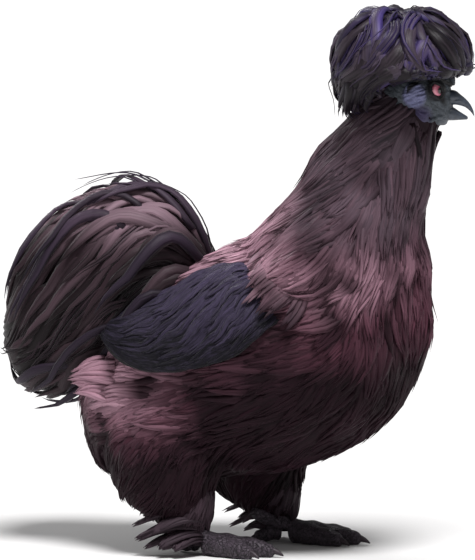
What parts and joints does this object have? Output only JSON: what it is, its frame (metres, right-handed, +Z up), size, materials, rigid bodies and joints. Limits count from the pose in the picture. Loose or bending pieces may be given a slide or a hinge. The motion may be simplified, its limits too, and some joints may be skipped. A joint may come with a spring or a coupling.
{
  "type": "silkie chicken",
  "caption": "Standing silkie chicken with a domed crest, a full silky coat, drooping wings, a plumed tail, feathered shanks and spread toes.",
  "frame": {"origin": "on the floor, under the middle of the whole bird's box", "axes": "+X forward to the beak, +Y to the bird's left, +Z up"},
  "size_m": [0.3342, 0.1726, 0.381],
  "materials": {
    "crest_feathers": "silky dark charcoal feathers with a violet sheen",
    "hackle_feathers": "silky grey-brown feathers",
    "body_feathers": "silky mauve-brown down-like feathers",
    "tail_feathers": "long silky grey-brown plumes with darker slate vanes",
    "wing_feathers": "slate indigo feathers with fine streaks",
    "face_skin": "wrinkled bare dark slate skin",
    "lobe_skin": "wrinkled blue-lavender skin",
    "beak_horn": "worn dark slate horn",
    "foot_scales": "dark grey-purple scaly skin",
    "claw_horn": "dark horn",
    "eye": "wet eye with a rose iris and a dark pupil"
  },
  "bodies": {
    "root": {"head": "face_skin", "comb": "face_skin", "beak_upper": "beak_horn", "beak_lower": "beak_horn", "eye_left": "eye", "earlobe_left": "lobe_skin", "wattle_left": "lobe_skin", "eye_right": "eye", "earlobe_right": "lobe_skin", "wattle_right": "lobe_skin", "crest": "crest_feathers", "neck": "hackle_feathers", "torso": "body_feathers", "tail": "tail_feathers", "wing_right": "wing_feathers", "foot_right": "foot_scales", "claw_right_inner": "claw_horn", "claw_right_middle": "claw_horn", "claw_right_outer": "claw_horn", "claw_right_hind": "claw_horn", "claw_right_fifth": "claw_horn", "thigh_right": "body_feathers", "wing_left": "wing_feathers", "foot_left": "foot_scales", "claw_left_inner": "claw_horn", "claw_left_middle": "claw_horn", "claw_left_outer": "claw_horn", "claw_left_hind": "claw_horn", "claw_left_fifth": "claw_horn", "thigh_left": "body_feathers"}
  },
  "joints": []
}
